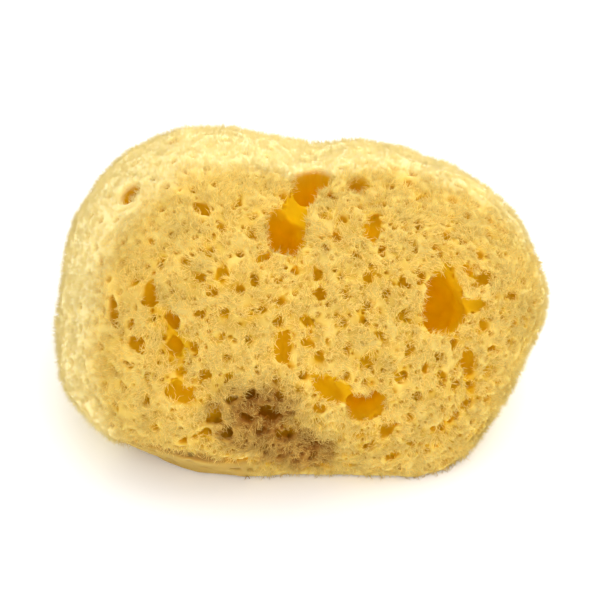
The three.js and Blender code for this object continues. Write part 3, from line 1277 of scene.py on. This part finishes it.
@dataclass(frozen=True)
class SpongeFinish:
    """Dry sponge: matt and soft, with light passing through its thin walls.

    Velvety parts are painted paler, down to a depth in millimetres: a painted sheen, for the light that shines
    through and off their fuzz. The glow is emission that paints in the light which the pile would scatter on
    within itself. It is full where the painted sheen is strongest, and weaker by the veil elsewhere.
    """

    name: str
    palette: Palette
    # The tints are partly painted light: they keep the skeleton darker than the fibres, evening out the
    # skeleton's subsurface light against the fibres' shadows on each other.
    tint: Colour
    roughness: float = 0.9
    specular: float = 0.0
    # Painted sheen on the velvety side: the velvet shares and depths over which it comes in, and how strong it
    # is.
    sheen_velvet_range: tuple[float, float] = (0.5, 1.0)
    paleness: tuple[float, float] = (0.05, 0.6)
    sheen_depth_range: tuple[float, float] = (3.0, 1.0)
    # Painted glow: emission of the sponge's own colour, standing in for light scattered in the pile, and how
    # much weaker it is away from the painted sheen.
    painted_glow: float = 0.2
    glow_veil: float = 0.4
    subsurface: float = 0.0
    subsurface_radius: tuple[float, float, float] = (1.0, 0.8, 0.4)
    subsurface_scale: float = 3.0 * MM

    def material(self) -> bpy.types.Material:
        """The finish's material, made once."""
        return bpy.data.materials.get(self.name) or self.make()

    def make(self) -> bpy.types.Material:
        """Lays out the material: one shader, fed with the shared colour group.

        Returns:
            The material.
        """
        material = bpy.data.materials.new(self.name)
        material.use_nodes = True
        sheet = Sheet(material.node_tree)
        output = sheet.tree.nodes.new("ShaderNodeOutputMaterial")
        shader = sheet.tree.nodes.new("ShaderNodeBsdfPrincipled")
        sheet.feed(output.inputs["Surface"], shader.outputs["BSDF"])
        place = sheet.tree.nodes.new("ShaderNodeTexCoord").outputs["Object"]
        values = {label: sheet.attribute(label.lower()) for label in ("Depth", "Tip", "Tone", "Cut")}
        colour = sheet.group(self.palette.tree(), Place=place, **values).outputs["Color"]
        # Painted sheen: the velvety side is turned paler, down to a depth and away from the bare foot.
        painted_sheen = sheet.fade(sheet.attribute("velvet"), *self.sheen_velvet_range, *self.paleness)
        painted_sheen = sheet.maths("MULTIPLY", painted_sheen, sheet.fade(values["Depth"], *self.sheen_depth_range))
        painted_sheen = sheet.maths("MULTIPLY", painted_sheen, sheet.fade(values["Cut"], 1.0, 0.0))
        colour = sheet.blend(painted_sheen, colour, self.palette.velvet)
        colour = sheet.blend(1.0, colour, self.tint, "MULTIPLY")
        parts = {
            "Base Color": colour,
            "Roughness": self.roughness,
            "Specular IOR Level": self.specular,
            "Subsurface Weight": self.subsurface,
            "Subsurface Radius": self.subsurface_radius,
            "Subsurface Scale": self.subsurface_scale,
            # Painted glow: the sponge emits its own colour, fully where the painted sheen is and weaker
            # elsewhere.
            "Emission Color": sheet.blend(painted_sheen, sheet.blend(self.glow_veil, colour, BLACK), colour),
            "Emission Strength": self.painted_glow,
        }
        for name, part in parts.items():
            sheet.feed(shader.inputs[name], part)
        return material


PALETTE = Palette()
# The skeleton's darker tint and the fibres' lighter one are partly painted light.
SKELETON_FINISH = SpongeFinish("skeleton", PALETTE, tint=(0.88, 0.91, 0.92, 1.0), subsurface=0.85)
FIBRE_FINISH = SpongeFinish("fibre", PALETTE, tint=(1.0, 0.95, 0.78, 1.0))


@dataclass(frozen=True)
class Lamp:
    """One soft square light."""

    name: str
    place: tuple[float, float, float]
    size: float
    power: float


@dataclass
class Studio:
    """The pale floor, the soft lights and the camera, which stands at the photograph's angle of view."""

    floor_half: float = 3.0
    floor_drop: float = 0.1 * MM
    floor_colour: Colour = (0.97, 0.97, 0.97, 1.0)
    floor_roughness: float = 0.9
    elevation: float = 38.0
    distance: float = 0.42
    lens: float = 100.0
    sensor: float = 36.0
    target: tuple[float, float, float] = (-0.0004, 0.0, 0.0255)
    world: float = 0.98
    lamps: tuple[Lamp, ...] = (
        Lamp("key", (0.25, 0.2, 0.7), 1.0, 3.0),
        Lamp("fill", (0.1, -0.78, 0.66), 0.8, 3.6),
    )

    def build(self) -> None:
        """Makes the studio."""
        self.make_floor()
        self.make_lights()
        self.make_camera()

    def make_floor(self) -> None:
        """Lays the floor."""
        corners = np.array([[-1.0, -1.0], [1.0, -1.0], [1.0, 1.0], [-1.0, 1.0]]) * self.floor_half
        points = np.column_stack([corners, np.full(len(corners), -self.floor_drop)])
        mesh = new_mesh("floor", points, np.array([[0, 1, 2, 3]]))
        floor = bpy.data.objects.new("floor", mesh)
        bpy.context.scene.collection.objects.link(floor)
        material = bpy.data.materials.new("floor")
        material.use_nodes = True
        shader = material.node_tree.nodes["Principled BSDF"]
        shader.inputs["Base Color"].default_value = self.floor_colour
        shader.inputs["Roughness"].default_value = self.floor_roughness
        mesh.materials.append(material)

    def make_lights(self) -> None:
        """Hangs the lamps, and lights the air."""
        world = bpy.data.worlds.new("studio")
        bpy.context.scene.world = world
        world.use_nodes = True
        background = world.node_tree.nodes["Background"]
        background.inputs["Color"].default_value = WHITE
        background.inputs["Strength"].default_value = self.world
        for lamp in self.lamps:
            light = bpy.data.lights.new(lamp.name, "AREA")
            light.size = lamp.size
            light.energy = lamp.power
            hung = bpy.data.objects.new(lamp.name, light)
            hung.location = lamp.place
            hung.rotation_euler = (Vector(self.target) - Vector(lamp.place)).to_track_quat("-Z", "Y").to_euler()
            bpy.context.scene.collection.objects.link(hung)

    def make_camera(self) -> None:
        """Stands the camera in front of the sponge, looking down at it."""
        camera = bpy.data.cameras.new("camera")
        camera.lens = self.lens
        camera.sensor_width = self.sensor
        eye = bpy.data.objects.new("camera", camera)
        angle = math.radians(self.elevation)
        offset = Vector((0.0, -math.cos(angle), math.sin(angle))) * self.distance
        eye.location = Vector(self.target) + offset
        eye.rotation_euler = (-offset).to_track_quat("-Z", "Y").to_euler()
        bpy.context.scene.collection.objects.link(eye)
        scene = bpy.context.scene
        scene.camera = eye
        scene.view_settings.view_transform = "Standard"


def main() -> None:
    """Builds the sponge and its studio."""
    logging.basicConfig(level=logging.INFO, format="%(name)s: %(message)s")
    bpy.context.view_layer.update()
    skeleton = Skeleton()
    mass = skeleton.build(SKELETON_FINISH)
    log.info("%s: %d triangles", mass.name, len(triangles_of(mass.data)))
    pile = Pile(skeleton)
    for sort in (*NAP, *FRINGE):
        fibres = pile.grow(mass.data, sort, FIBRE_FINISH)
        log.info("%s: %d triangles", fibres.name, len(triangles_of(fibres.data)))
    Studio().build()


if __name__ == "__main__":
    main()
